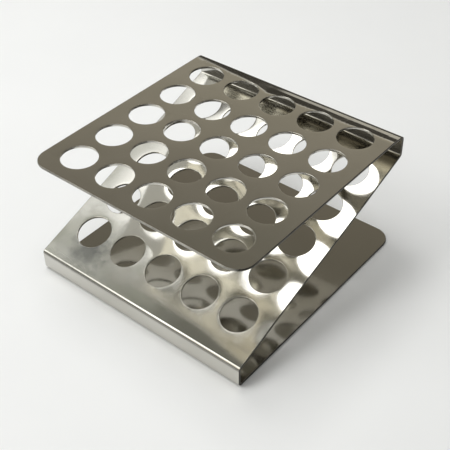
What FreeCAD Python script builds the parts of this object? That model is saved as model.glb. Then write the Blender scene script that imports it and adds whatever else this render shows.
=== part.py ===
import FreeCAD, Part
import math
import os

Vector = FreeCAD.Vector

# A test tube rack folded from one blank of stainless steel sheet, bent four
# times into a Z: a level top plate, a short lip down at the rear, a middle
# plate that slopes forwards and down under the top plate, a short lip down at
# the front, and a level base plate that runs back along the bench.
#
# Frame, in millimetres: +X along the bends, left to right as seen from the
# front; +Y from the front lip to the free rear edge of the base; +Z up. The
# origin is the centre of the bounding box's bottom face.

# ---- sheet ----
SHEET_T = 1.2                          # thickness
BEND_INNER_R = 0.8
BEND_OUTER_R = BEND_INNER_R + SHEET_T
WIDTH = 125.4                          # length of every bend, X
CORNER_R = 9.0                         # free corners of the top plate and the base
TOLERANCE = 1e-6                       # for picking edges by position

# ---- side profile, to the outside faces ----
HEIGHT = 66.4                          # bench to the top of the top plate
DEPTH = 129.2                          # front lip to the rear edge of the base
LIP_SPAN = 125.8                       # front lip to rear lip
TOP_SETBACK = 1.8                      # front lip back to the front edge of the top plate
FRONT_LIP_H = 11.4                     # bench to the corner of front lip and slope
REAR_LIP_H = 11.4                      # top face down to the corner of rear lip and slope

FRONT_LIP_Y = -DEPTH / 2
REAR_LIP_Y = FRONT_LIP_Y + LIP_SPAN
TOP_FRONT_Y = FRONT_LIP_Y + TOP_SETBACK
BASE_REAR_Y = DEPTH / 2

# ---- tube holes ----
HOLE_D = 18.0                          # clearance hole for a 16 mm tube
PITCH = 23.0                           # hole to hole, both ways, in both plates
ROWS = 5
COLUMNS = 5
TOP_GRID_Y = -0.7                      # centre row of the top plate
SLOPE_GRID_DISTANCE = 68.0             # front corner up the slope to its centre row
PUNCH_OVERRUN = 1.0                    # punch beyond each face of the sheet

# ---- sloping plate ----
# Its upper face starts at the front corner and its underside at the rear one,
# so it is steeper than the line between the corners by asin(thickness / length).
FRONT_CORNER = (FRONT_LIP_Y, FRONT_LIP_H)          # (y, z)
REAR_CORNER = (REAR_LIP_Y, HEIGHT - REAR_LIP_H)    # (y, z)
RISE = REAR_CORNER[1] - FRONT_CORNER[1]
SLOPE = math.atan2(RISE, LIP_SPAN) + math.asin(SHEET_T / math.hypot(LIP_SPAN, RISE))
SLOPE_UP = Vector(0, math.cos(SLOPE), math.sin(SLOPE))
SLOPE_NORMAL = Vector(0, -math.sin(SLOPE), math.cos(SLOPE))   # out of the upper face


def along_slope(start, y):
    """The (y, z) point at y on the line through start parallel to the slope."""
    return (y, start[1] + (y - start[0]) * math.tan(SLOPE))


def profile_corners():
    """The side profile as a closed list of ((y, z), corner radius)."""
    front_lip_inner_y = FRONT_LIP_Y + SHEET_T
    rear_lip_inner_y = REAR_LIP_Y - SHEET_T
    top_underside_z = HEIGHT - SHEET_T
    return [
        # top of the top plate, rear of the rear lip, underside of the slope,
        # rear of the front lip, top of the base
        ((TOP_FRONT_Y, HEIGHT), 0),
        ((REAR_LIP_Y, HEIGHT), BEND_OUTER_R),
        (REAR_CORNER, BEND_OUTER_R),
        (along_slope(REAR_CORNER, front_lip_inner_y), BEND_INNER_R),
        ((front_lip_inner_y, SHEET_T), BEND_INNER_R),
        ((BASE_REAR_Y, SHEET_T), 0),
        # back again: underside of the base, front of the front lip, upper face
        # of the slope, front of the rear lip, underside of the top plate
        ((BASE_REAR_Y, 0), 0),
        ((FRONT_LIP_Y, 0), BEND_OUTER_R),
        (FRONT_CORNER, BEND_OUTER_R),
        (along_slope(FRONT_CORNER, rear_lip_inner_y), BEND_INNER_R),
        ((rear_lip_inner_y, top_underside_z), BEND_INNER_R),
        ((TOP_FRONT_Y, top_underside_z), 0),
    ]


def rounded_corner(before, corner, after, radius):
    """Start, end and arc of one corner; a sharp corner has no arc."""
    if radius == 0:
        return corner, corner, None
    to_before = (before - corner).normalize()
    to_after = (after - corner).normalize()
    half_angle = to_before.getAngle(to_after) / 2
    setback = radius / math.tan(half_angle)
    bisector = (to_before + to_after).normalize()
    start = corner + to_before * setback
    end = corner + to_after * setback
    middle = corner + bisector * (radius / math.sin(half_angle) - radius)
    return start, end, Part.Arc(start, middle, end).toShape()


def rounded_wire(corners):
    """A closed wire at the rack's left side, with an arc at each bend."""
    points = [Vector(-WIDTH / 2, y, z) for (y, z), _ in corners]
    count = len(points)
    pieces = [
        rounded_corner(points[i - 1], points[i], points[(i + 1) % count], corners[i][1])
        for i in range(count)
    ]
    edges = []
    for i, (_, end, arc) in enumerate(pieces):
        if arc is not None:
            edges.append(arc)
        next_start = pieces[(i + 1) % count][0]
        edges.append(Part.makeLine(end, next_start))
    return Part.Wire(edges)


def is_free_corner(edge):
    """Whether an edge is an upright corner of the top plate or base's free end."""
    if not isinstance(edge.Curve, Part.Line):
        return False
    box = edge.BoundBox
    at_side = abs(abs(box.XMin) - WIDTH / 2) < TOLERANCE and box.XLength < TOLERANCE
    upright = abs(box.ZLength - SHEET_T) < TOLERANCE and box.YLength < TOLERANCE
    at_end = min(abs(box.YMin - TOP_FRONT_Y), abs(box.YMin - BASE_REAR_Y)) < TOLERANCE
    return at_side and upright and at_end


def centred_steps(count):
    """Offsets of count holes at the pitch, centred on zero."""
    return [(i - (count - 1) / 2) * PITCH for i in range(count)]


def punch(position, direction):
    """A hole cutter that starts clear of one face and ends clear of the other."""
    return Part.makeCylinder(HOLE_D / 2, SHEET_T + 2 * PUNCH_OVERRUN, position, direction)


def tube_punches():
    """Upright cutters for the top plate, and cutters square to the sloping plate."""
    top_z = HEIGHT - SHEET_T - PUNCH_OVERRUN
    slope_start = Vector(0, *FRONT_CORNER) + SLOPE_NORMAL * PUNCH_OVERRUN
    punches = []
    for x in centred_steps(COLUMNS):
        for step in centred_steps(ROWS):
            punches.append(punch(Vector(x, TOP_GRID_Y + step, top_z), Vector(0, 0, 1)))
            on_slope = slope_start + SLOPE_UP * (SLOPE_GRID_DISTANCE + step)
            punches.append(punch(on_slope + Vector(x, 0, 0), SLOPE_NORMAL * -1))
    return Part.makeCompound(punches)


def folded_sheet_rack():
    """The folded sheet with rounded free corners and both grids of holes."""
    sheet = Part.Face(rounded_wire(profile_corners())).extrude(Vector(WIDTH, 0, 0))
    free_corners = [edge for edge in sheet.Edges if is_free_corner(edge)]
    sheet = sheet.makeFillet(CORNER_R, free_corners)
    return sheet.cut(tube_punches()).Solids[0]


os.makedirs("parts", exist_ok=True)
folded_sheet_rack().exportStep("parts/folded_sheet_rack.step")
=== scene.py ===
"""A rack folded from one strip of polished stainless sheet, standing on a pale floor.

X runs across the rack, -Y is its front, +Y its rear and Z is up, with the base on Z = 0.
From its first end the strip makes the flat top (front to rear), a short rear lip down, the
slope (down to the front), a short front lip down and the base (front to rear). The top and
the slope each carry five by five round holes. Sheet sizes are in millimetres; materials,
lights and camera are in metres.
"""
import math
from collections import namedtuple
from functools import reduce

import bpy
import numpy as np
from mathutils import Matrix, Vector


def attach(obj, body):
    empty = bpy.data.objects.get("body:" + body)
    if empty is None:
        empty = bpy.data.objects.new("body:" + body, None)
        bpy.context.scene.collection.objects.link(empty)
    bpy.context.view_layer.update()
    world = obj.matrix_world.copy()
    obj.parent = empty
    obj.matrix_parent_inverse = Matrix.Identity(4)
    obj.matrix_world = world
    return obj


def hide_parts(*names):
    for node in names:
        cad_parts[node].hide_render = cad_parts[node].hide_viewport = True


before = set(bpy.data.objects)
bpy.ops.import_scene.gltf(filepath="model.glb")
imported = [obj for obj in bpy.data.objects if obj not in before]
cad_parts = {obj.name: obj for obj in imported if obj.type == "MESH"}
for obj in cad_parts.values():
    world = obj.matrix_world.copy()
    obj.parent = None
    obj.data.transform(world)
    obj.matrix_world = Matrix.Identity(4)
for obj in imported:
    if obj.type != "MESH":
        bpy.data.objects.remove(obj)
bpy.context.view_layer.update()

# ---------------------------------------------------------------------------
# Driving dimensions, in millimetres
# ---------------------------------------------------------------------------
THICK = 1.2
HALF_THICK = THICK / 2
BEND_INNER = 0.8
BEND_MID = BEND_INNER + HALF_THICK     # bend radius of the mid-surface
WIDTH = 125.4
HEIGHT = 66.4
DEPTH = 129.2
FRONT_LIP_HEIGHT = 11.4
REAR_LIP_HEIGHT = 11.4
FRONT_Y = -DEPTH / 2
BASE_END_Y = DEPTH / 2
REAR_Y = FRONT_Y + 125.8               # outside of the rear lip
TOP_START_Y = FRONT_Y + 1.8            # free edge of the top
CORNER = 9.0                           # radius of the strip's four free corners
HOLE_RADIUS = 9.0
PITCH = 23.0
HALF_PITCH = PITCH / 2
TOP_GRID_Y = -0.7                      # centre of the holes in the top
# centre of the holes in the slope, from where its upper face meets the front plane
SLOPE_GRID = 68.0
EDGE = 0.28                            # radius of the deburred cut edges

# ---------------------------------------------------------------------------
# The mid-surface as a line in the (Y, Z) plane
# ---------------------------------------------------------------------------
run, rise = REAR_Y - FRONT_Y, HEIGHT - REAR_LIP_HEIGHT - FRONT_LIP_HEIGHT
SLOPE_ANGLE = math.atan2(rise, run) + math.asin(THICK / math.hypot(run, rise))
COS, SIN = math.cos(SLOPE_ANGLE), math.sin(SLOPE_ANGLE)


def on_slope_at(y):
    """Where the slope's mid-surface crosses the upright line at this Y."""
    # the underside of the slope ends at the rear lip's foot
    start_y = REAR_Y - HALF_THICK * SIN
    start_z = HEIGHT - REAR_LIP_HEIGHT + HALF_THICK * COS
    reach = (y - start_y) / COS
    return np.array([start_y + reach * COS, start_z + reach * SIN])


CORNERS = [
    np.array([TOP_START_Y, HEIGHT - HALF_THICK]),
    np.array([REAR_Y - HALF_THICK, HEIGHT - HALF_THICK]),
    on_slope_at(REAR_Y - HALF_THICK),
    on_slope_at(FRONT_Y + HALF_THICK),
    np.array([FRONT_Y + HALF_THICK, HALF_THICK]),
    np.array([BASE_END_Y, HALF_THICK]),
]
HEADINGS = [(b - a) / np.linalg.norm(b - a) for a, b in zip(CORNERS, CORNERS[1:])]
TURNS = [math.atan2(a[0] * b[1] - a[1] * b[0], a @ b) for a, b in zip(HEADINGS, HEADINGS[1:])]
# how far before and after its corner each bend begins and ends
SETBACKS = [BEND_MID * math.tan(abs(turn) / 2) for turn in TURNS]

# begin and end are distances along the strip; a flat segment has no turn
Segment = namedtuple("Segment", "begin end start heading turn")


def strip_segments():
    segments = []
    along = 0.0
    for k, heading in enumerate(HEADINGS):
        lead = SETBACKS[k - 1] if k > 0 else 0.0
        tail = SETBACKS[k] if k < len(TURNS) else 0.0
        start = CORNERS[k] + heading * lead
        length = np.linalg.norm(CORNERS[k + 1] - CORNERS[k]) - lead - tail
        segments.append(Segment(along, along + length, start, heading, 0.0))
        along += length
        if k < len(TURNS):
            arc = BEND_MID * abs(TURNS[k])
            bend_start = start + heading * length
            segments.append(Segment(along, along + arc, bend_start, heading, TURNS[k]))
            along += arc
    return segments


SEGMENTS = strip_segments()
TOP, TOP_BEND, REAR_LIP, REAR_BEND, SLOPE, FRONT_BEND, FRONT_LIP, BASE_BEND, BASE = SEGMENTS
LENGTH = BASE.end


def place(along):
    """Nominal mid-surface point and normal (towards side A, the upper side of the top)."""
    point = np.zeros(along.shape + (2,))
    heading = np.zeros_like(point)
    for segment in SEGMENTS:
        begin = -math.inf if segment is TOP else segment.begin
        end = math.inf if segment is BASE else segment.end
        here = (along >= begin) & (along < end)
        past = along[here] - segment.begin
        if segment.turn == 0.0:
            point[here] = segment.start + past[:, None] * segment.heading
            heading[here] = segment.heading
            continue
        way = math.copysign(1.0, segment.turn)
        y, z = segment.heading
        centre = segment.start + np.array([-z, y]) * way * BEND_MID
        angle = past / BEND_MID * way
        heading[here, 0] = y * np.cos(angle) - z * np.sin(angle)
        heading[here, 1] = y * np.sin(angle) + z * np.cos(angle)
        point[here, 0] = centre[0] + BEND_MID * way * heading[here, 1]
        point[here, 1] = centre[1] - BEND_MID * way * heading[here, 0]
    return point, np.stack([-heading[..., 1], heading[..., 0]], -1)


# hole centres, across the strip and along it
COLUMNS = [k * PITCH for k in range(-2, 3)]
TOP_ROWS = [TOP_GRID_Y + step - TOP_START_Y for step in COLUMNS]
FRONT_CORNER = SLOPE.end + SETBACKS[2]
SLOPE_ROWS = sorted(
    FRONT_CORNER - (SLOPE_GRID + step - HALF_THICK * (1 - SIN) / COS) for step in COLUMNS
)


# ---------------------------------------------------------------------------
# Unevenness of real folded sheet
# ---------------------------------------------------------------------------
def smooth(value, start, end):
    """Smooth step from 0 at start to 1 at end."""
    part = np.clip((value - start) / (end - start), 0.0, 1.0)
    return part * part * (3.0 - 2.0 * part)


# Near the top's rear bend the sheet rolls over early, more so towards the right (+X), and
# carries the lip with it. The shifts this causes are tabled by x and distance along.
TABLE_X = np.linspace(-WIDTH / 2 - 0.6, WIDTH / 2 + 0.6, 160)
TABLE_BEGIN, TABLE_END, TABLE_STEP = TOP.end - 13.0, SLOPE.end, 0.05
TABLE_ALONG = np.arange(TABLE_BEGIN, TABLE_END + TABLE_STEP / 2, TABLE_STEP)
# x, how far before the bend the roll begins
EARLY_ROLL = (
    (-62.7, 2.5), (-50, 3.7), (-40, 4.6), (-30, 5.2), (-20, 6.3), (-12, 8.8), (-4, 8.0),
    (10, 7.8), (22, 7.0), (34, 7.6), (46, 7.0), (58, 7.1), (63, 6.9),
)
STRETCHED = 4.7           # length before the bend that is stretched to place the outline
OUTLINE_LEAN = 1.318      # Y per Z of the slanting lines along which the outline is taken
OUTLINE_Y = 59.6          # where the outline lies at full height, on the left
OUTLINE_Y_RIGHT = 0.3     # how much further back it lies on the right


def table_column(along):
    return int(round((along - TABLE_BEGIN) / TABLE_STEP))


def roll_angles(rightward):
    """Angle of the sheet below level, by TABLE_X and TABLE_ALONG."""
    early = np.interp(TABLE_X, *zip(*EARLY_ROLL))
    kernel = np.exp(-(np.arange(-4, 5) / 2.0) ** 2)
    early = np.convolve(np.pad(early, 4, mode="edge"), kernel / kernel.sum(), mode="valid")
    past_bend = TABLE_ALONG[None, :] - TOP.end
    past_early = TABLE_ALONG[None, :] - (TOP.end - early[:, None])
    first_kink = math.radians(3.9)
    second_kink = math.radians(1.6) + math.radians(3.1) * rightward
    roll = first_kink * smooth(past_early, start=0.0, end=0.6)
    roll = roll + second_kink * smooth(past_early, start=1.1, end=1.9)
    # on the right it eases off once more before it turns down
    eased = smooth(TABLE_X, start=-18.0, end=-6.0)[:, None]
    eased_roll = math.radians(4.0)
    roll = roll + eased * (eased_roll - roll) * smooth(past_bend, start=-2.75, end=-2.25)
    last_turn, last_length = math.radians(5.0) + math.radians(3.0) * eased, 0.95
    roll = roll + last_turn * np.clip((past_bend + last_length) / last_length, 0.0, 1.0)
    # the bend itself takes up what is left of the right angle
    at_bend = roll[:, [table_column(TOP.end)]]
    part = np.clip(past_bend / (REAR_LIP.begin - TOP.end), 0.0, 1.0)
    roll = np.where(past_bend > 0, at_bend + (math.pi / 2 - at_bend) * part, roll)
    return roll, math.pi / 2 * part


def roll_table():
    """Shifts in Y and in Z, by TABLE_X and TABLE_ALONG."""
    along = TABLE_ALONG[None, :]
    rightward = np.clip((TABLE_X + WIDTH / 2) / WIDTH, 0.0, 1.0)[:, None]
    roll, nominal = roll_angles(rightward)
    lip = table_column(REAR_LIP.begin)
    stretched = ((along > TOP.end - STRETCHED) & (along < TOP.end)).astype(float)
    point, _ = place(TABLE_ALONG)
    extra = np.zeros_like(rightward)
    for _ in range(4):
        growth = 1.0 + stretched * extra / STRETCHED
        shift_y = np.cumsum(np.cos(roll) * growth - np.cos(nominal), axis=1) * TABLE_STEP
        shift_z = np.cumsum(np.sin(nominal) - np.sin(roll) * growth, axis=1) * TABLE_STEP
        y = point[:, 0][None, :] + shift_y + np.sin(roll) * HALF_THICK
        z = point[:, 1][None, :] + shift_z + np.cos(roll) * HALF_THICK
        outline = (y - OUTLINE_LEAN * (HEIGHT - z))[:, :lip].max(axis=1, keepdims=True)
        extra = extra + (OUTLINE_Y + OUTLINE_Y_RIGHT * rightward - outline)
    # down the lip it goes over into what is left of it at the slope's rear corner
    right = smooth(TABLE_X, start=12.0, end=62.0)[:, None]
    tilted = smooth(TABLE_X, start=30.0, end=62.7)[:, None]
    foot_y = shift_y[:, [lip]] * (1.0 - tilted) + 1.5 * tilted
    foot_z = (-0.25 - 1.15 * right) * smooth(TABLE_X, start=-62.0, end=-30.0)[:, None]
    part = np.clip((along - REAR_LIP.begin) / (REAR_LIP.end - REAR_LIP.begin), 0.0, 1.0)
    shift_y, shift_z = (
        np.where(along > REAR_LIP.begin,
                 shift[:, [lip]] + (foot - shift[:, [lip]]) * part, shift)
        for shift, foot in ((shift_y, foot_y), (shift_z, foot_z))
    )
    # and along the slope it fades out towards the front, more slowly on the right
    near = 1.0 - smooth(along, start=SLOPE.begin, end=SLOPE.begin + 24.0)
    far = 1.0 - smooth(along, start=SLOPE.begin + 30.0, end=SLOPE.end - 22.0)
    far = near + (far - near) * right
    within = (shift_y * COS + shift_z * SIN) * near
    off = (shift_z * COS - shift_y * SIN) * far
    on_slope = along > SLOPE.begin
    return (np.where(on_slope, within * COS - off * SIN, shift_y),
            np.where(on_slope, within * SIN + off * COS, shift_z))


ROLL_TABLES = roll_table()


def rolled(x, along):
    """Shifts in Y and Z, interpolated in the roll tables."""
    column = np.clip((x - TABLE_X[0]) / (TABLE_X[1] - TABLE_X[0]), 0.0, len(TABLE_X) - 1.001)
    row = np.clip((along - TABLE_BEGIN) / TABLE_STEP, 0.0, len(TABLE_ALONG) - 1.001)
    i, j = column.astype(int), row.astype(int)
    p, q = column - i, row - j
    covered = (along > TABLE_BEGIN) & (along < TABLE_END)
    shifts = []
    for table in ROLL_TABLES:
        before = table[i, j] * (1 - p) + table[i + 1, j] * p
        after = table[i, j + 1] * (1 - p) + table[i + 1, j + 1] * p
        shifts.append(np.where(covered, before * (1 - q) + after * q, 0.0))
    return shifts


def waves(x, along, seed, sizes):
    """Low random waves; sizes holds (height, wavelength), three waves of each."""
    rng = np.random.RandomState(seed)
    total = np.zeros_like(x)
    for height, wavelength in sizes:
        for _ in range(3):
            turn = rng.uniform(0, math.pi)
            phase = rng.uniform(0, 2 * math.pi)
            rate = 2 * math.pi / (wavelength * rng.uniform(0.8, 1.25))
            across = x * math.cos(turn) + along * math.sin(turn)
            total = total + height * np.sin(rate * across + phase)
    return total


TOP_WAVES = dict(seed=3, sizes=((1.0, 85.0), (0.5, 45.0)))
SLOPE_WAVES = dict(seed=11, sizes=((1.0, 80.0), (0.55, 46.0), (0.22, 27.0)))
BASE_WAVES = dict(seed=23, sizes=((1.0, 90.0), (0.4, 50.0)))
# rows of holes, how far the punch draws their rims towards side A
DRAWN_RIMS = ((TOP_ROWS, -0.022), (SLOPE_ROWS, 0.024))
RIM_FADE = 0.8            # distance over which the drawn rim fades


def offset(x, along):
    """How far waves and punching lift the sheet off the mid-surface, towards side A."""
    on_top = 1.0 - smooth(along, start=TOP.end - 16.0, end=TOP.end - 4.0)
    on_slope = (smooth(along, start=SLOPE.begin, end=SLOPE.begin + 9.0)
                * (1.0 - smooth(along, start=SLOPE.end - 7.0, end=SLOPE.end)))
    on_base = smooth(along, start=BASE.begin, end=BASE.begin + 8.0)
    total = 0.035 * on_top * waves(x, along, **TOP_WAVES) / 2
    total = total + 0.10 * on_slope * waves(x, along, **SLOPE_WAVES) / 2
    # the base never dips below its nominal place
    lift = np.clip(1.0 + waves(x, along, **BASE_WAVES) / 2, 0.0, None)
    total = total + 0.05 * on_base * lift
    for rows, amount in DRAWN_RIMS:
        for row in rows:
            for column in COLUMNS:
                outside = np.hypot(x - column, along - row) - HOLE_RADIUS
                total = total + amount * np.exp(-np.clip(outside, 0.0, None) / RIM_FADE)
    return total


def middle(x, along):
    point, normal = place(along)
    lift = offset(x, along)
    roll_y, roll_z = rolled(x, along)
    return np.stack([x, point[..., 0] + normal[..., 0] * lift + roll_y,
                     point[..., 1] + normal[..., 1] * lift + roll_z], -1)


def surface(x, along, height):
    """Points this high above the mid-surface, and the directions there: across, along
    the strip and out of side A."""
    delta = 0.06
    across = middle(x + delta, along) - middle(x - delta, along)
    onward = middle(x, along + delta) - middle(x, along - delta)
    across /= np.linalg.norm(across, axis=-1, keepdims=True)
    normal = np.cross(across, onward)
    normal /= np.linalg.norm(normal, axis=-1, keepdims=True)
    onward = np.cross(normal, across)
    return middle(x, along) + normal * height, across, onward, normal


# ---------------------------------------------------------------------------
# The punched blank as a flat quad mesh in (x, along), then folded
# ---------------------------------------------------------------------------
CELL_STEPS = 16           # quads along each side of the square cell around a hole
# rings of a cell, as fractions of the way from the hole to the cell's rim
COARSE_RINGS = (0.0, 0.07, 0.18, 0.34, 0.6)
FINE_RINGS = (0.0, 0.04, 0.09, 0.15, 0.22, 0.3, 0.39, 0.49, 0.6, 0.72, 0.86)
# centre along the strip and outward way of the rounded corners at its two ends
STRIP_ENDS = ((CORNER, -1), (LENGTH - CORNER, 1))


def spread(begin, end, step):
    count = max(1, int(math.ceil((end - begin) / step - 1e-9)))
    return list(np.linspace(begin, end, count + 1))


def span(segment, step):
    return spread(segment.begin, segment.end, step)


def cell_lines(centre):
    """Lines through a cell, at equal angles seen from its hole."""
    return [centre + HALF_PITCH * math.tan(math.radians(-45 + 90 * k / CELL_STEPS))
            for k in range(CELL_STEPS + 1)]


def join(*parts):
    joined = []
    for part in parts:
        for value in part:
            if not joined or value > joined[-1] + 1e-7:
                joined.append(float(value))
    return joined


FLAT_HALF_WIDTH = WIDTH / 2 - EDGE
X_LINES = join(
    spread(-FLAT_HALF_WIDTH, COLUMNS[0] - HALF_PITCH, step=1.8),
    *map(cell_lines, COLUMNS),
    spread(COLUMNS[-1] + HALF_PITCH, FLAT_HALF_WIDTH, step=1.8),
)
ALONG_LINES = join(
    spread(EDGE, TOP_ROWS[0] - HALF_PITCH, step=1.6),
    *map(cell_lines, TOP_ROWS),
    spread(TOP_ROWS[-1] + HALF_PITCH, TOP.end, step=0.25),
    span(TOP_BEND, step=0.2),
    span(REAR_LIP, step=1.0),
    span(REAR_BEND, step=0.2),
    spread(SLOPE.begin, SLOPE_ROWS[0] - HALF_PITCH, step=1.0),
    *map(cell_lines, SLOPE_ROWS),
    spread(SLOPE_ROWS[-1] + HALF_PITCH, SLOPE.end, step=1.0),
    span(FRONT_BEND, step=0.2),
    span(FRONT_LIP, step=1.0),
    span(BASE_BEND, step=0.2),
    spread(BASE.begin, LENGTH - EDGE, step=2.0),
)


def nearest_line(lines, value):
    return int(np.argmin(np.abs(np.array(lines) - value)))


def perimeter(block):
    """The border of a block of node numbers, once around."""
    return [*block[:-1, 0], *block[-1, :-1], *block[:0:-1, -1], *block[0, :0:-1]]


def band(first, second):
    """Quads between two closed rings of node numbers."""
    return list(zip(first, second, np.roll(second, -1), np.roll(first, -1)))


def round_corners(flat):
    """Turn the square of the grid at each free corner into a quarter disc."""
    side = CORNER - EDGE
    for way_x in (-1, 1):
        for centre, way in STRIP_ENDS:
            u = (flat[:, 0] * way_x - (WIDTH / 2 - CORNER)) / side
            v = (flat[:, 1] - centre) * way / side
            here = (u > 0) & (v > 0)
            u, v = u[here], v[here]
            bulge_x = side * u * np.sqrt(1 - v * v / 2)
            flat[here, 0] = way_x * (WIDTH / 2 - CORNER + bulge_x)
            flat[here, 1] = centre + way * side * v * np.sqrt(1 - u * u / 2)


def flat_blank():
    """Nodes, quads and boundary loops; a loop comes with its hole's centre, or None."""
    shape = (len(X_LINES), len(ALONG_LINES))
    node_kept = np.ones(shape, bool)
    quad_kept = np.ones((shape[0] - 1, shape[1] - 1), bool)
    cells = []
    for row in TOP_ROWS + SLOPE_ROWS:
        for column in COLUMNS:
            i = nearest_line(X_LINES, column - HALF_PITCH)
            j = nearest_line(ALONG_LINES, row - HALF_PITCH)
            cells.append((column, row, i, j))
            node_kept[i + 1 : i + CELL_STEPS, j + 1 : j + CELL_STEPS] = False
            quad_kept[i : i + CELL_STEPS, j : j + CELL_STEPS] = False
    nodes = [(X_LINES[i], ALONG_LINES[j]) for i, j in np.argwhere(node_kept)]
    grid = -np.ones(shape, int)
    grid[node_kept] = np.arange(len(nodes))
    quads = [(grid[i, j], grid[i + 1, j], grid[i + 1, j + 1], grid[i, j + 1])
             for i, j in np.argwhere(quad_kept)]
    loops = []
    inner = HOLE_RADIUS + EDGE
    for column, row, i, j in cells:
        rim = perimeter(grid[i : i + CELL_STEPS + 1, j : j + CELL_STEPS + 1])
        rings = []
        # the row of holes next to the rolled strip is meshed finer
        for fraction in FINE_RINGS if row == TOP_ROWS[-1] else COARSE_RINGS:
            rings.append(list(range(len(nodes), len(nodes) + len(rim))))
            for k in rim:
                away_x, away_along = nodes[k][0] - column, nodes[k][1] - row
                distance = math.hypot(away_x, away_along)
                radius = inner + (distance - inner) * fraction
                nodes.append((column + away_x / distance * radius,
                              row + away_along / distance * radius))
        rings.append(rim)
        # the loop runs so that the hole is on its right, the other way round to the rings
        loops.append((rings[0][:1] + rings[0][:0:-1], (column, row)))
        for before, after in zip(rings, rings[1:]):
            quads += band(before, after)
    flat = np.array(nodes, float)
    round_corners(flat)
    loops.append((perimeter(grid), None))
    return flat, quads, loops


def outward(points, hole):
    """Directions out of the sheet, in its plane, at the points of a boundary loop."""
    if hole is not None:
        towards = np.array(hole) - points
        return towards / np.linalg.norm(towards, axis=1, keepdims=True)
    directions = np.zeros_like(points)
    for k, (x, along) in enumerate(points):
        centre, way = STRIP_ENDS[0] if along < LENGTH / 2 else STRIP_ENDS[1]
        over_x = abs(x) - (WIDTH / 2 - CORNER)
        over_along = (along - centre) * way
        if over_x > 0 and over_along > 0:
            distance = math.hypot(over_x, over_along)
            directions[k] = (math.copysign(over_x / distance, x), way * over_along / distance)
        elif over_x > 0 and abs(abs(x) - FLAT_HALF_WIDTH) < 1e-6:
            directions[k] = (math.copysign(1, x), 0)
        else:
            directions[k] = (0, way)
    return directions


def edge_profile():
    """Cut edge from side A to side B: (outward, height, angle from side A's normal)."""
    upper = [(EDGE * math.sin(angle), HALF_THICK - EDGE * (1 - math.cos(angle)), angle)
             for angle in map(math.radians, (30, 60, 90))]
    return upper + [(out, -height, math.pi - angle) for out, height, angle in reversed(upper)]


def fold():
    """Vertices, normals, faces, material slots and strip distances of the folded sheet."""
    flat, quads, loops = flat_blank()
    count = len(flat)
    points, normals, distances = [], [], []

    def add_layer(at, sideways, height, angle):
        point, across, onward, normal = surface(at[:, 0], at[:, 1], height)
        side = across * sideways[:, :1] + onward * sideways[:, 1:]
        points.append(point)
        normals.append(normal * math.cos(angle) + side * math.sin(angle))
        distances.append(at[:, 1])

    add_layer(flat, np.zeros_like(flat), HALF_THICK, 0.0)
    add_layer(flat, np.zeros_like(flat), -HALF_THICK, math.pi)
    faces = quads + [tuple(count + k for k in reversed(quad)) for quad in quads]
    slots = [0] * len(faces)
    total = 2 * count
    for loop, hole in loops:
        sideways = outward(flat[loop], hole)
        rows = [np.array(loop)]
        for out, height, angle in edge_profile():
            add_layer(flat[loop] + sideways * out, sideways, height, angle)
            rows.append(total + np.arange(len(loop)))
            total += len(loop)
        rows.append(np.array(loop) + count)
        for first, second in zip(rows, rows[1:]):
            faces += band(first, second)
            slots += [1 if hole is None else 2] * len(loop)
    normals = np.vstack(normals)
    normals /= np.linalg.norm(normals, axis=1, keepdims=True)
    return np.vstack(points), normals, faces, slots, np.concatenate(distances)


def build_rack():
    points, normals, faces, slots, distances = fold()
    mesh = bpy.data.meshes.new("folded_sheet")
    mesh.from_pydata([tuple(point / 1000.0) for point in points], [], faces)
    mesh.validate(verbose=False)
    mesh.update()
    mesh.polygons.foreach_set("use_smooth", [True] * len(mesh.polygons))
    mesh.polygons.foreach_set("material_index", slots)
    mesh.normals_split_custom_set_from_vertices([tuple(normal) for normal in normals])
    layer = mesh.attributes.new("strip_mm", "FLOAT", "POINT")
    layer.data.foreach_set("value", distances)
    rack = bpy.data.objects.new("folded_sheet", mesh)
    bpy.context.scene.collection.objects.link(rack)
    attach(rack, "root")
    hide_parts("folded_sheet_rack")
    return mesh


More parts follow.
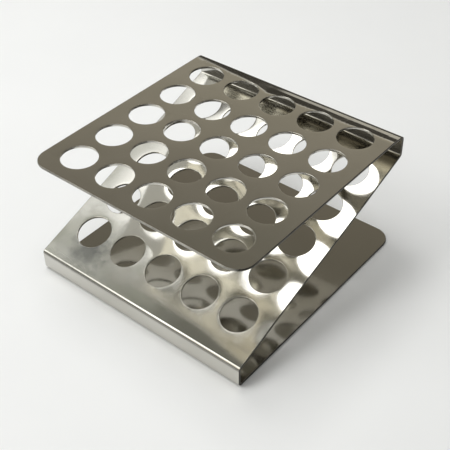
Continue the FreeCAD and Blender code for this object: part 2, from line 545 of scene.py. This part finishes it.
# ---------------------------------------------------------------------------
# Node trees
# ---------------------------------------------------------------------------
class Nodes:
    """Short ways to add nodes to a tree; colours are given as three numbers."""

    def __init__(self, owner):
        owner.use_nodes = True
        self.tree = owner.node_tree
        self.tree.nodes.clear()

    def feed(self, socket, value):
        if isinstance(value, bpy.types.NodeSocket):
            self.tree.links.new(value, socket)
        else:
            socket.default_value = (*value, 1.0) if socket.type == "RGBA" else value

    def node(self, kind, inputs=None, **settings):
        node = self.tree.nodes.new(kind)
        for name, value in settings.items():
            setattr(node, name, value)
        for key, value in (inputs or {}).items():
            self.feed(node.inputs[key], value)
        return node

    def math(self, operation, *values):
        return self.node("ShaderNodeMath", dict(enumerate(values)), operation=operation).outputs[0]

    def times(self, *values):
        return reduce(lambda a, b: self.math("MULTIPLY", a, b), values)

    def plus(self, *values):
        return reduce(lambda a, b: self.math("ADD", a, b), values)

    def position(self):
        return self.node("ShaderNodeTexCoord").outputs["Object"]

    def split(self, vector):
        return self.node("ShaderNodeSeparateXYZ", {0: vector}).outputs

    def face_normal(self):
        return self.split(self.node("ShaderNodeNewGeometry").outputs["True Normal"])

    def ramp(self, value, stops):
        node = self.node("ShaderNodeValToRGB")
        elements = node.color_ramp.elements
        while len(elements) < len(stops):
            elements.new(0.5)
        for element, (position, colour) in zip(elements, stops):
            element.position = position
            element.color = (*colour, 1.0)
        self.feed(node.inputs[0], value)
        return node.outputs[0]

    def mix(self, amount, base, over, blend="MIX"):
        return self.node("ShaderNodeMix", {0: amount, 6: base, 7: over}, data_type="RGBA",
                         clamp_factor=True, blend_type=blend).outputs[2]

    def remap(self, value, start, end, first=0.0, last=1.0, kind="SMOOTHSTEP"):
        """From first, where the value is start, to last, where it is end."""
        inputs = dict(enumerate((value, start, end, first, last)))
        return self.node("ShaderNodeMapRange", inputs, interpolation_type=kind).outputs[0]

    def between(self, value, start, end, soft):
        """1 inside start..end, falling to 0 over soft either side of each limit."""
        return self.times(self.remap(value, start - soft, start + soft),
                          self.remap(value, end - soft, end + soft, first=1.0, last=0.0))

    def noise(self, vector, scale, detail, roughness, distortion=0.0):
        return self.node("ShaderNodeTexNoise", {
            "Vector": vector, "Scale": scale, "Detail": detail, "Roughness": roughness,
            "Distortion": distortion}).outputs["Fac"]

    def metal(self, tone, roughness, bump):
        """Finish the material as bare metal; bump holds the bump node's inputs."""
        shader = self.node("ShaderNodeBsdfPrincipled", {
            "Base Color": tone, "Metallic": 1.0, "Roughness": roughness,
            "Normal": self.node("ShaderNodeBump", bump).outputs[0]})
        self.node("ShaderNodeOutputMaterial", {"Surface": shader.outputs[0]})


# ---------------------------------------------------------------------------
# Materials
# ---------------------------------------------------------------------------
def polished_stainless():
    material = bpy.data.materials.new("polished_stainless")
    t = Nodes(material)
    pos = t.position()
    x, y, z = t.split(pos)
    strip = t.node("ShaderNodeAttribute", attribute_name="strip_mm").outputs["Fac"]

    def streaks(scale, turn):
        stretched = t.node("ShaderNodeMapping", {
            "Vector": pos, "Rotation": (0, 0, turn), "Scale": scale}).outputs[0]
        return t.noise(stretched, scale=1.0, detail=2.0, roughness=0.6)

    def ragged(scale):
        """Noise of up to a centimetre either way, to fray the outline of a mark."""
        noise = t.noise(pos, scale, detail=4.0, roughness=0.6)
        return t.times(t.math("SUBTRACT", noise, 0.5), 0.020)

    cloudy = t.noise(pos, scale=22.0, detail=3.0, roughness=0.55)
    smudge = t.noise(pos, scale=65.0, detail=5.0, roughness=0.6, distortion=0.6)
    fine = t.noise(pos, scale=420.0, detail=3.0, roughness=0.6)
    streaks_x = streaks(scale=(60, 2200, 900), turn=0.03)
    streaks_y = streaks(scale=(2600, 70, 900), turn=0.5)
    smudged = t.remap(smudge, start=0.52, end=0.72)

    # bands along the front and top bends, painted dark as dark reflection lines and also made
    # rougher: segment, from and to as parts of it
    bands = []
    for bend, first, last in ((FRONT_BEND, 0.68, 1.0), (TOP_BEND, 0.10, 0.95)):
        length = bend.end - bend.begin
        bands.append(t.between(strip, start=bend.begin + length * first,
                               end=bend.begin + length * last, soft=0.15))
    painted_dark_bend_lines = t.plus(*bands)

    # darker marks on the slope: clouds, one dark spot on the left and a darker patch at the front
    sloping = t.times(t.remap(z, start=0.0085, end=0.0105), t.remap(z, start=0.062, end=0.060))
    cloud_noise = t.noise(pos, scale=95.0, detail=4.0, roughness=0.6, distortion=0.4)
    clouds = t.times(t.remap(cloud_noise, start=0.42, end=0.66), sloping,
                     t.remap(y, start=0.01, end=-0.035))
    spot_place = (-0.0405, -0.0545, 0.0150)
    from_spot = t.node("ShaderNodeVectorMath", {0: pos, 1: spot_place}, operation="SUBTRACT")
    distance = t.node("ShaderNodeVectorMath", {0: from_spot.outputs["Vector"]},
                      operation="LENGTH").outputs["Value"]
    distance = t.plus(distance, ragged(scale=130.0))
    spot = t.times(t.plus(t.remap(distance, start=0.0150, end=0.0050, last=0.62),
                          t.remap(distance, start=0.0075, end=0.0025, last=0.30)), sloping)
    fray = ragged(scale=70.0)
    darker_front_patch = t.times(t.remap(t.plus(x, fray), start=-0.064, end=-0.056),
                   t.remap(t.plus(x, fray), start=0.012, end=-0.030),
                   t.remap(t.plus(y, fray), start=-0.048, end=-0.055), sloping)
    # the upper face of the slope close to the rear bend is painted darker, a painted dark
    # reflection in the inner corner of the bend
    painted_rear_bend_shade = t.times(t.remap(strip, start=SLOPE.begin - 0.4, end=SLOPE.begin + 0.4),
                     t.remap(strip, start=SLOPE.begin + 8.5, end=SLOPE.begin + 4.0),
                     t.remap(t.face_normal()[2], start=0.3, end=0.6),
                     t.remap(x, start=-0.030, end=0.010))

    near_floor = dict(start=0.0018, end=0.0013)
    tone = t.mix(t.remap(cloudy, start=0.3, end=0.7), (0.595, 0.583, 0.538),
                 (0.64, 0.628, 0.588))
    # amount, colour of each layer over the clean metal
    layers = (
        (t.times(smudged, 0.3), (0.55, 0.525, 0.475)),
        # painted shade: the base is darker at the rear and on the right
        (t.times(t.remap(z, **near_floor), t.remap(y, start=0.0, end=0.035), 0.52),
         (0.36, 0.335, 0.290)),
        (t.times(t.remap(z, **near_floor),
                 t.remap(x, start=-0.010, end=0.020, first=0.20, last=0.30)),
         (0.34, 0.315, 0.270)),
        # painted dark reflection lines along the two bends
        (t.times(painted_dark_bend_lines, 0.85), (0.21, 0.195, 0.165)),
        (t.times(clouds, 0.30), (0.42, 0.415, 0.40)),
        (spot, (0.13, 0.13, 0.13)),
        (t.times(darker_front_patch, 0.42), (0.30, 0.30, 0.28)),
        # painted dark reflection on the slope beside the rear bend
        (t.times(painted_rear_bend_shade, 0.85), (0.19, 0.178, 0.150)),
    )
    for amount, colour in layers:
        tone = t.mix(amount, tone, colour)

    # no fine grain in the corner of the rear bend, where the sheet mirrors itself repeatedly
    corner = t.times(t.remap(strip, start=REAR_LIP.begin - 1.0, end=REAR_LIP.begin + 1.0),
                     t.remap(strip, start=SLOPE.begin + 10.0, end=SLOPE.begin + 7.0))
    scratches = t.plus(t.remap(streaks_x, start=0.62, end=0.75),
                       t.remap(streaks_y, start=0.68, end=0.78, last=0.6))
    # each mark adds its share to the roughness of the clean metal
    rough = t.plus(
        t.remap(cloudy, start=0.3, end=0.75, first=0.07, last=0.105),
        t.times(smudged, 0.07),
        t.times(scratches, 0.03),
        t.times(painted_dark_bend_lines, 0.12),
        t.plus(t.times(clouds, 0.05), t.times(t.math("MAXIMUM", spot, darker_front_patch), 0.12)),
        t.times(corner, 0.05),
    )
    t.metal(tone, rough, bump={
        "Strength": t.remap(corner, start=0.0, end=1.0, first=0.18, last=0.0),
        "Distance": 0.00002,
        "Height": t.plus(t.times(streaks_x, 0.35), t.times(fine, 0.25))})
    return material


def cut_edge(name, dull, bright, smoothest, roughest):
    """Sheared and punched edges, deburred."""
    material = bpy.data.materials.new(name)
    t = Nodes(material)
    pos = t.position()
    grain = t.noise(pos, scale=1500.0, detail=3.0, roughness=0.6)
    blotch = t.noise(pos, scale=160.0, detail=2.0, roughness=0.5)
    tone = t.mix(t.remap(blotch, start=0.35, end=0.65), dull, bright)
    # painted shade: edges facing right, away from the light, are made near black
    painted_right_shade = t.times(t.remap(t.face_normal()[0], start=0.15, end=0.6),
                      t.remap(t.split(pos)[0], start=0.0575, end=0.0600))
    tone = t.mix(t.times(painted_right_shade, 0.92), tone, (0.045, 0.043, 0.038))
    rough = t.remap(grain, start=0.3, end=0.7, first=smoothest, last=roughest)
    t.metal(tone, rough, bump={"Strength": 0.35, "Distance": 0.00005, "Height": grain})
    return material


def pale_floor():
    material = bpy.data.materials.new("pale_floor")
    t = Nodes(material)
    pos = t.position()
    mottle = t.noise(pos, scale=6.0, detail=4.0, roughness=0.6)
    colour = t.mix(t.remap(mottle, start=0.3, end=0.7), (0.855, 0.86, 0.845),
                   (0.875, 0.88, 0.865))
    # what polished metal mirrors of the floor gets darker well away from the object,
    # more so in front of it than behind it
    distance = t.node("ShaderNodeVectorMath", {0: pos}, operation="LENGTH").outputs["Value"]
    far = t.times(t.remap(distance, start=0.12, end=0.22),
                  t.node("ShaderNodeLightPath").outputs["Is Glossy Ray"])
    front = t.remap(t.split(pos)[1], start=0.05, end=-0.05)
    colour = t.mix(far, colour, t.mix(front, (0.56, 0.54, 0.49), (0.20, 0.19, 0.17)))
    shader = t.node("ShaderNodeBsdfPrincipled", {
        "Base Color": colour, "Roughness": 0.7, "Specular IOR Level": 0.2})
    t.node("ShaderNodeOutputMaterial", {"Surface": shader.outputs[0]})
    return material


# ---------------------------------------------------------------------------
# Floor, world, lights and camera
# ---------------------------------------------------------------------------
def build_floor(radius=2.5, sides=96, z=-0.00012):
    material = pale_floor()
    mesh = bpy.data.meshes.new("floor")
    angles = [2 * math.pi * k / sides for k in range(sides)]
    ring = [(radius * math.cos(angle), radius * math.sin(angle), z) for angle in angles]
    mesh.from_pydata(ring, [], [tuple(range(sides))])
    mesh.materials.append(material)
    floor = bpy.data.objects.new("floor", mesh)
    bpy.context.scene.collection.objects.link(floor)


def set_render(scene):
    scene.view_settings.view_transform = "Standard"
    scene.view_settings.look = "None"
    scene.view_settings.exposure = 0.0
    scene.view_settings.gamma = 1.0
    scene.cycles.max_bounces = 14
    scene.cycles.glossy_bounces = 12
    scene.cycles.diffuse_bounces = 4
    scene.cycles.blur_glossy = 0.2
    scene.cycles.sample_clamp_indirect = 8.0


def build_world(scene):
    """The room the metal mirrors; colour tables run by degrees above the horizon."""
    world = bpy.data.worlds.new("studio")
    scene.world = world
    w = Nodes(world)
    world.cycles.sampling_method = "NONE"
    x, y, z = w.split(w.node("ShaderNodeTexCoord").outputs["Generated"])
    elevation = w.times(w.math("ARCSINE", z), 180 / math.pi)
    # 0 behind the rack, -90 to its left
    compass = w.times(w.math("ARCTAN2", x, y), 180 / math.pi)

    def by_level(*stops):
        value = w.math("DIVIDE", w.plus(elevation, 90.0), 180.0)
        return w.ramp(value, [((degrees + 90.0) / 180.0, colour) for degrees, colour in stops])

    # a dim room
    room = by_level((-90, (0.25, 0.245, 0.23)), (-5, (0.16, 0.155, 0.14)),
                    (15, (0.12, 0.115, 0.10)), (50, (0.22, 0.21, 0.19)),
                    (90, (0.55, 0.54, 0.51)))
    # the wall behind: a pale skirting, a dark low part, a bright ledge, then brown-grey
    wall = by_level(
        (-9, (0.45, 0.44, 0.41)), (-6, (0.70, 0.68, 0.63)), (2.5, (0.70, 0.68, 0.63)),
        (4.5, (0.060, 0.056, 0.048)), (24.0, (0.055, 0.050, 0.042)),
        (25.2, (0.62, 0.60, 0.54)), (26.6, (0.62, 0.60, 0.54)), (28.0, (0.42, 0.385, 0.31)),
        (33.0, (0.345, 0.317, 0.255)), (37.0, (0.273, 0.25, 0.205)),
        (41.0, (0.218, 0.203, 0.165)), (44.5, (0.175, 0.163, 0.132)),
        (48.5, (0.120, 0.113, 0.092)), (70.0, (0.20, 0.19, 0.17)))
    fade = w.remap(compass, start=-60.0, end=-25.0, first=0.78, last=1.16, kind="LINEAR")
    grey = w.node("ShaderNodeCombineColor", {0: fade, 1: fade, 2: fade}).outputs[0]
    wall = w.mix(1.0, wall, grey, blend="MULTIPLY")
    sky = w.mix(w.between(compass, start=-76.0, end=20.0, soft=8.0), room, wall)
    # the dim pier between the two windows
    pier = by_level(
        (0, (0.12, 0.115, 0.10)), (40, (0.50, 0.51, 0.45)), (47, (1.2, 1.22, 1.14)),
        (50.3, (0.95, 0.97, 0.89)), (52.3, (0.52, 0.54, 0.47)), (56.5, (0.47, 0.48, 0.42)),
        (59.5, (0.20, 0.20, 0.17)), (80, (0.21, 0.205, 0.18)))
    sky = w.mix(w.between(compass, start=-117.0, end=-80.0, soft=4.0), sky, pier)
    # the high window to the left; its near edge leans and its sill steps up
    lean = w.remap(elevation, start=52.0, end=60.0, first=-94.0, last=-90.0, kind="LINEAR")
    inside = w.remap(w.math("SUBTRACT", compass, lean), start=-1.2, end=1.2)
    sill = w.plus(w.remap(compass, start=-90.5, end=-88.0, first=51.2, last=53.4),
                  w.remap(compass, start=-76.0, end=-68.0, last=3.0))
    above = w.times(w.remap(w.math("SUBTRACT", elevation, sill), start=-1.2, end=1.2),
                    w.remap(elevation, start=84.0, end=88.0, first=1.0, last=0.0))
    beside = w.remap(compass, start=-60.0, end=-55.0, first=1.0, last=0.0)
    pane = by_level((50.0, (1.12, 1.125, 1.10)), (54.3, (1.16, 1.165, 1.14)),
                    (56.0, (1.45, 1.45, 1.42)), (58.2, (3.6, 3.6, 3.5)))
    sky = w.mix(w.times(inside, beside, above), sky, pane)
    # the wide window to the front left, above a dark sill; its front part is curtained
    below = ((-14, (0.12, 0.115, 0.10)), (10, (0.10, 0.095, 0.085)), (16, (0.35, 0.34, 0.31)))
    over = ((60, (0.35, 0.34, 0.31)), (90, (0.4, 0.39, 0.36)))
    clear = by_level(
        *below, (20, (1.2, 1.19, 1.13)), (31, (1.5, 1.5, 1.4)), (37, (2.9, 2.9, 2.8)),
        (46, (3.3, 3.3, 3.2)), (47.2, (0.95, 0.93, 0.86)), (50, (0.95, 0.93, 0.86)),
        (51.5, (2.8, 2.8, 2.7)), (57, (2.8, 2.8, 2.7)), *over)
    veiled = by_level(
        *below, (20, (1.1, 1.08, 0.98)), (30, (1.15, 1.08, 0.92)), (41, (1.15, 1.07, 0.88)),
        (44.5, (2.3, 2.2, 1.9)), (46.5, (2.2, 2.1, 1.8)), (48, (1.1, 1.03, 0.88)),
        (51, (1.7, 1.62, 1.4)), (57, (1.5, 1.45, 1.3)), *over)
    wide = w.mix(w.remap(compass, start=-145.5, end=-141.0), veiled, clear)
    sky = w.mix(w.between(compass, start=-170.0, end=-117.0, soft=3.5), sky, wide)
    # the right-hand side of the room is in the dark
    dark = by_level((-90, (0.20, 0.195, 0.18)), (0, (0.05, 0.048, 0.042)),
                    (50, (0.05, 0.048, 0.042)), (80, (0.30, 0.29, 0.27)))
    sky = w.mix(w.between(compass, start=32.0, end=165.0, soft=12.0), sky, dark)

    # only mirrors see the room; the rest gets soft light, and the camera a plain backdrop
    path = w.node("ShaderNodeLightPath")
    soft_light = by_level((-90, (0.235, 0.235, 0.23)), (0, (0.264, 0.264, 0.26)),
                          (90, (0.315, 0.317, 0.317)))
    shown = w.mix(path.outputs["Is Glossy Ray"], soft_light, sky)
    shown = w.mix(path.outputs["Is Camera Ray"], shown, (0.86, 0.865, 0.85))
    background = w.node("ShaderNodeBackground", {"Color": shown, "Strength": 1.0})
    w.node("ShaderNodeOutputWorld", {"Surface": background.outputs[0]})


# one soft patch per part of the windows and ceiling: compass angle, height angle, watts
DAYLIGHT = ((-60, 68, 3.41), (-140, 50, 2.95), (-100, 68, 2.07),
            (0, 90, 1.84), (-140, 68, 1.22), (-140, 30, 1.12))


def build_lights(scene, distance=1.2, size=0.55):
    for number, (compass, elevation, watts) in enumerate(DAYLIGHT):
        name = "daylight_%d" % number
        turn, tall = math.radians(compass), math.radians(elevation)
        light = bpy.data.lights.new(name, "AREA")
        light.shape = "DISK"
        light.size = size
        light.energy = watts
        lamp = bpy.data.objects.new(name, light)
        scene.collection.objects.link(lamp)
        place_at = Vector((distance * math.cos(tall) * math.sin(turn),
                           distance * math.cos(tall) * math.cos(turn),
                           distance * math.sin(tall)))
        lamp.location = place_at
        aim = Vector((0, 0, 0)) - place_at
        lamp.rotation_euler = aim.to_track_quat("-Z", "Y").to_euler()
        lamp.visible_glossy = False


def build_camera(scene):
    lens = bpy.data.cameras.new("camera")
    lens.sensor_fit = "HORIZONTAL"
    lens.sensor_width = 36.0
    lens.lens = 73.384
    lens.clip_start = 0.01
    camera = bpy.data.objects.new("camera", lens)
    scene.collection.objects.link(camera)
    # in front, to the right and above; the last column is its place
    camera.matrix_world = Matrix((
        (0.775884, -0.40052, 0.487429, 0.22674),
        (0.630754, 0.507612, -0.586924, -0.27009),
        (-0.01235, 0.762833, 0.646478, 0.31694),
        (0.0, 0.0, 0.0, 1.0),
    ))
    scene.camera = camera


sheet = build_rack()
sheet.materials.append(polished_stainless())
sheet.materials.append(cut_edge("cut_edge_stainless", dull=(0.30, 0.29, 0.265),
                                bright=(0.46, 0.445, 0.41), smoothest=0.24, roughest=0.38))
sheet.materials.append(cut_edge("punched_wall_stainless", dull=(0.60, 0.585, 0.54),
                                bright=(0.74, 0.72, 0.67), smoothest=0.16, roughest=0.26))
build_floor()
set_render(bpy.context.scene)
build_world(bpy.context.scene)
build_lights(bpy.context.scene)
build_camera(bpy.context.scene)
bpy.context.view_layer.update()
